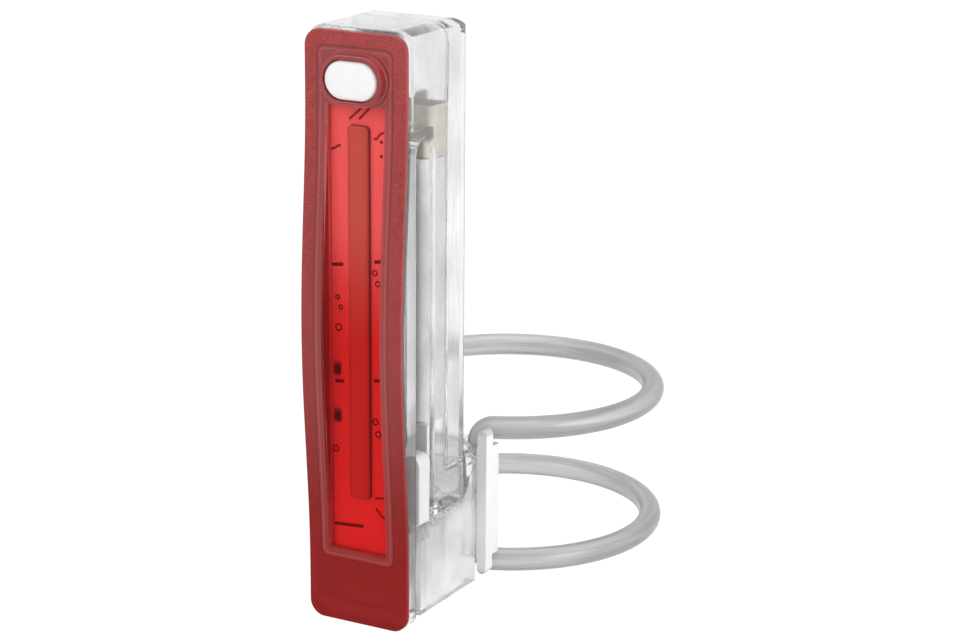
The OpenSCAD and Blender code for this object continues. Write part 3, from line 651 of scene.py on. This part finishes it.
# Resistors: two small ceramic blocks soldered beside the light bar, each with a dark glaze in its
# middle and tinned ends.
RESISTOR_Z, RESISTOR_STEP, GLAZE_HALF = 25.9, 5.8, 0.5
GLAZE_BLACK, TIN_GREY = (0.09, 0.06, 0.055, 1), (0.4, 0.38, 0.36, 1)
resistor, tree, surface = new_material("resistor_glaze")
above_first = calc(tree, "SUBTRACT", lamp_axis(tree, 2), RESISTOR_Z)
along = calc(tree, "WRAP", above_first, RESISTOR_STEP / 2, -RESISTOR_STEP / 2)
tinned = step_up(tree, calc(tree, "ABSOLUTE", along), GLAZE_HALF, 0.05)
specks = noise(tree, 6.0)
shaded(
    tree, surface, Base_Color=colour_mix(tree, tinned, GLAZE_BLACK, TIN_GREY),
    Metallic=calc(tree, "MULTIPLY", tinned, 0.6), Roughness=between(tree, specks, 0.35, 0.55),
    Normal=bumped(tree, 0.5, 0.02, specks))
finished("board_resistors", 0.05, resistor, "lamp", "black_plastic")

# Battery: a pouch of creased foil with two steel tabs, its guard board wound with brown film, and
# behind it a pad of foam with open cells. A white ribbon leads past it from the light board.
LAP_PITCH, CELL_PITCH = 2.6, 0.35
BRUSH_STRETCH = (9, 9, 0.6)


def creases(tree):
    """Height of pressed creases: how far a slow noise lies from its middle."""
    slow = calc(tree, "SUBTRACT", noise(tree, 0.5, 4.0), 0.5)
    return calc(tree, "MULTIPLY", calc(tree, "ABSOLUTE", slow), 4.0)


def laps(tree):
    """Height of film wound in laps: it rises evenly over each lap, a little askew, then drops."""
    askew = calc(tree, "MULTIPLY_ADD", lamp_axis(tree, 0), 0.12, lamp_axis(tree, 2))
    return calc(tree, "FRACT", calc(tree, "DIVIDE", askew, LAP_PITCH))


def open_cells(tree):
    """Height of foam: the distance from the nearest of many scattered cell middles."""
    cells = add(tree, "TexVoronoi", Vector=object_place(tree), Scale=1 / CELL_PITCH)
    return cells.outputs["Distance"]


def brushed(tree):
    """Height of brush lines: noise drawn out along the lamp's height."""
    return noise(tree, 1.0, stretch=BRUSH_STRETCH)


foil = plain_finish("cell_foil", (0.9, 0.9, 0.9), 0.35, bump=0.05, pattern=creases, Metallic=0.2)
finished("battery_cell", 0.2, foil, "lamp", "cell_foil")
film = plain_finish("amber_film", (0.8, 0.73, 0.65), 0.4, change=0.05, bump=0.05, pattern=laps)
finished("battery_tape", 0, film, "lamp", "amber_film")
foam = plain_finish("pad_foam", (0.88, 0.88, 0.87), 0.9, change=0.1, bump=0.1, pattern=open_cells)
finished("battery_pad", 0.2, foam, "lamp", "foam")
steel = plain_finish("steel", (0.75, 0.75, 0.76), 0.3, bump=0.005, pattern=brushed, Metallic=1.0)
finished("battery_tabs", 0, steel, "lamp", "steel")
finished("battery_board", 0, board_white, "lamp", "white_board")
finished("main_flex", 0, board_white, "lamp", "white_board")

# Charging end: a small board with two moulded chips, and a socket of folded, brushed steel with its
# tongue and its seal, which shuts the end of the back leg.
black = plain_finish("black_parts", (0.04, 0.04, 0.04), 0.5)
seal = plain_finish("seal_silicone", (0.82, 0.82, 0.82), 0.6)
finished("charge_board", 0, board_white, "lamp", "white_board")
finished("charge_chips", 0.05, black, "lamp", "black_plastic")
finished("charge_socket", 0.05, steel, "lamp", "steel")
finished("socket_tongue", 0.05, black, "lamp", "black_plastic")
finished("socket_gasket", 0.05, seal, "lamp", "seal_silicone")

# Switch: a low push switch in a steel can, soldered on the board behind the button, with a black
# plunger that moves with the button. A silicone ring seals the gap round it.
finished("switch_body", 0.05, steel, "lamp", "steel")
finished("switch_plunger", 0.05, black, "push_button", "black_plastic")
finished("button_boot", 0.05, seal, "lamp", "seal_silicone")

# Strap: one endless loop of grey, cloudy silicone cord, flat where it lies on the post, with flow
# streaks along it. Its two strands go round the post and its ends turn down behind the cradle's ears.
STRAP_PALE, STRAP_DEEP = (0.74, 0.745, 0.75, 1), (0.45, 0.455, 0.46, 1)
STRAP_EDGE, STRAP_EDGE_POWER = (0.24, 0.245, 0.25, 1), 2.0
STREAK_STRETCH = (0.05, 1.1, 1.1)
RING_R, STRAND_Z, BEND_R, END_ANGLE = 18.8, 8.75, 1.9, math.radians(22.4)
CORD_R, CORD_FLAT = 1.45, 0.1


def strap_loop():
    """Centre points of the whole loop and the direction to the post's axis at each, as (n, 3) arrays.
    A quarter is half of the upright run, the bend up, and half of the strand; the loop is that
    quarter and its three mirror images."""
    run = np.stack([np.full(8, -BEND_R), np.linspace(0, STRAND_Z - BEND_R, 8, endpoint=False)], 1)
    turn = np.linspace(math.pi, math.pi / 2, 14, endpoint=False)
    bend = np.stack([BEND_R * np.cos(turn), STRAND_Z - BEND_R + BEND_R * np.sin(turn)], 1)
    side = np.concatenate([run, bend])
    along = np.array([math.cos(END_ANGLE), math.sin(END_ANGLE), 0])
    inward = np.array([-math.sin(END_ANGLE), math.cos(END_ANGLE), 0])
    hook = -RING_R * inward + side[:, :1] * along + side[:, 1:] * [0, 0, 1]
    angle = np.linspace(END_ANGLE - math.pi / 2, math.pi / 2, 100)
    radial = np.stack([np.cos(angle), np.sin(angle), 0 * angle], 1)
    quarter = np.concatenate([hook, RING_R * radial + [0, 0, STRAND_Z]])
    facing = np.concatenate([np.tile(inward, (len(hook), 1)), -radial])
    flip = np.array([-1, 1, 1])
    upper = np.concatenate([quarter, (quarter * flip)[-2::-1]])
    upper_facing = np.concatenate([facing, (facing * flip)[-2::-1]])
    lower = upper * [1, 1, -1]
    return np.concatenate([upper, lower[-2:0:-1]]), np.concatenate([upper_facing, upper_facing[-2:0:-1]])


def swept(centres, facing, profile):
    """Closed tube: the profile's two numbers go along the facing direction and across it, square to
    the path, at every centre. Returns vertices and four-cornered faces."""
    tangent = np.roll(centres, -1, 0) - np.roll(centres, 1, 0)
    tangent /= np.linalg.norm(tangent, axis=1, keepdims=True)
    across = np.cross(tangent, facing)
    rings = (
        centres[:, None] + profile[None, :, :1] * facing[:, None] + profile[None, :, 1:] * across[:, None])
    rows, columns = rings.shape[:2]
    index = np.arange(rows * columns).reshape(rows, columns)
    ahead, beside = np.roll(index, -1, 0), np.roll(index, -1, 1)
    faces = np.stack([index, beside, np.roll(ahead, -1, 1), ahead], -1).reshape(-1, 4)
    return rings.reshape(-1, 3), faces.tolist()


silicone, tree, surface = new_material("strap_silicone")
cord_place = add(tree, "Attribute", attribute_name="cord_place").outputs["Vector"]
lengthways = add(tree, "Mapping", Vector=cord_place, Scale=STREAK_STRETCH).outputs[0]
streaks = add(tree, "TexNoise", Vector=lengthways, Scale=1.0, Detail=3.0).outputs[0]
streaked = colour_mix(tree, step_up(tree, streaks, 0.35, 0.3), STRAP_DEEP, STRAP_PALE)
grazing = calc(tree, "POWER", add(tree, "LayerWeight", Blend=0.5).outputs["Facing"], STRAP_EDGE_POWER)
shaded(
    tree, surface, IOR=1.3, Base_Color=colour_mix(tree, grazing, streaked, STRAP_EDGE),
    Transmission_Weight=0.55, Roughness=between(tree, streaks, 0.25, 0.4),
    Coat_Weight=0.5, Coat_Roughness=0.18, Normal=bumped(tree, 0.3, 0.03, streaks))

# The streaks follow the cord: each point of its mesh knows its place along it and in its profile.
centres, facing = strap_loop()
turn = np.linspace(0, 2 * math.pi, 32, endpoint=False)
profile = np.stack([np.minimum(CORD_R * np.cos(turn), CORD_R - CORD_FLAT), CORD_R * np.sin(turn)], 1)
strap = mesh_object("strap_look", *swept(centres, facing, profile), silicone)
length = np.linalg.norm(np.diff(centres, axis=0, prepend=centres[:1]), axis=1).cumsum()
lie = np.concatenate([
    np.broadcast_to(length[:, None, None], (len(centres), len(profile), 1)),
    np.broadcast_to(profile[None], (len(centres), len(profile), 2))], -1)
strap.data.attributes.new("cord_place", "FLOAT_VECTOR", "POINT").data.foreach_set("vector", lie.ravel())
dressed(strap, "cradle", "grey_silicone", "strap")
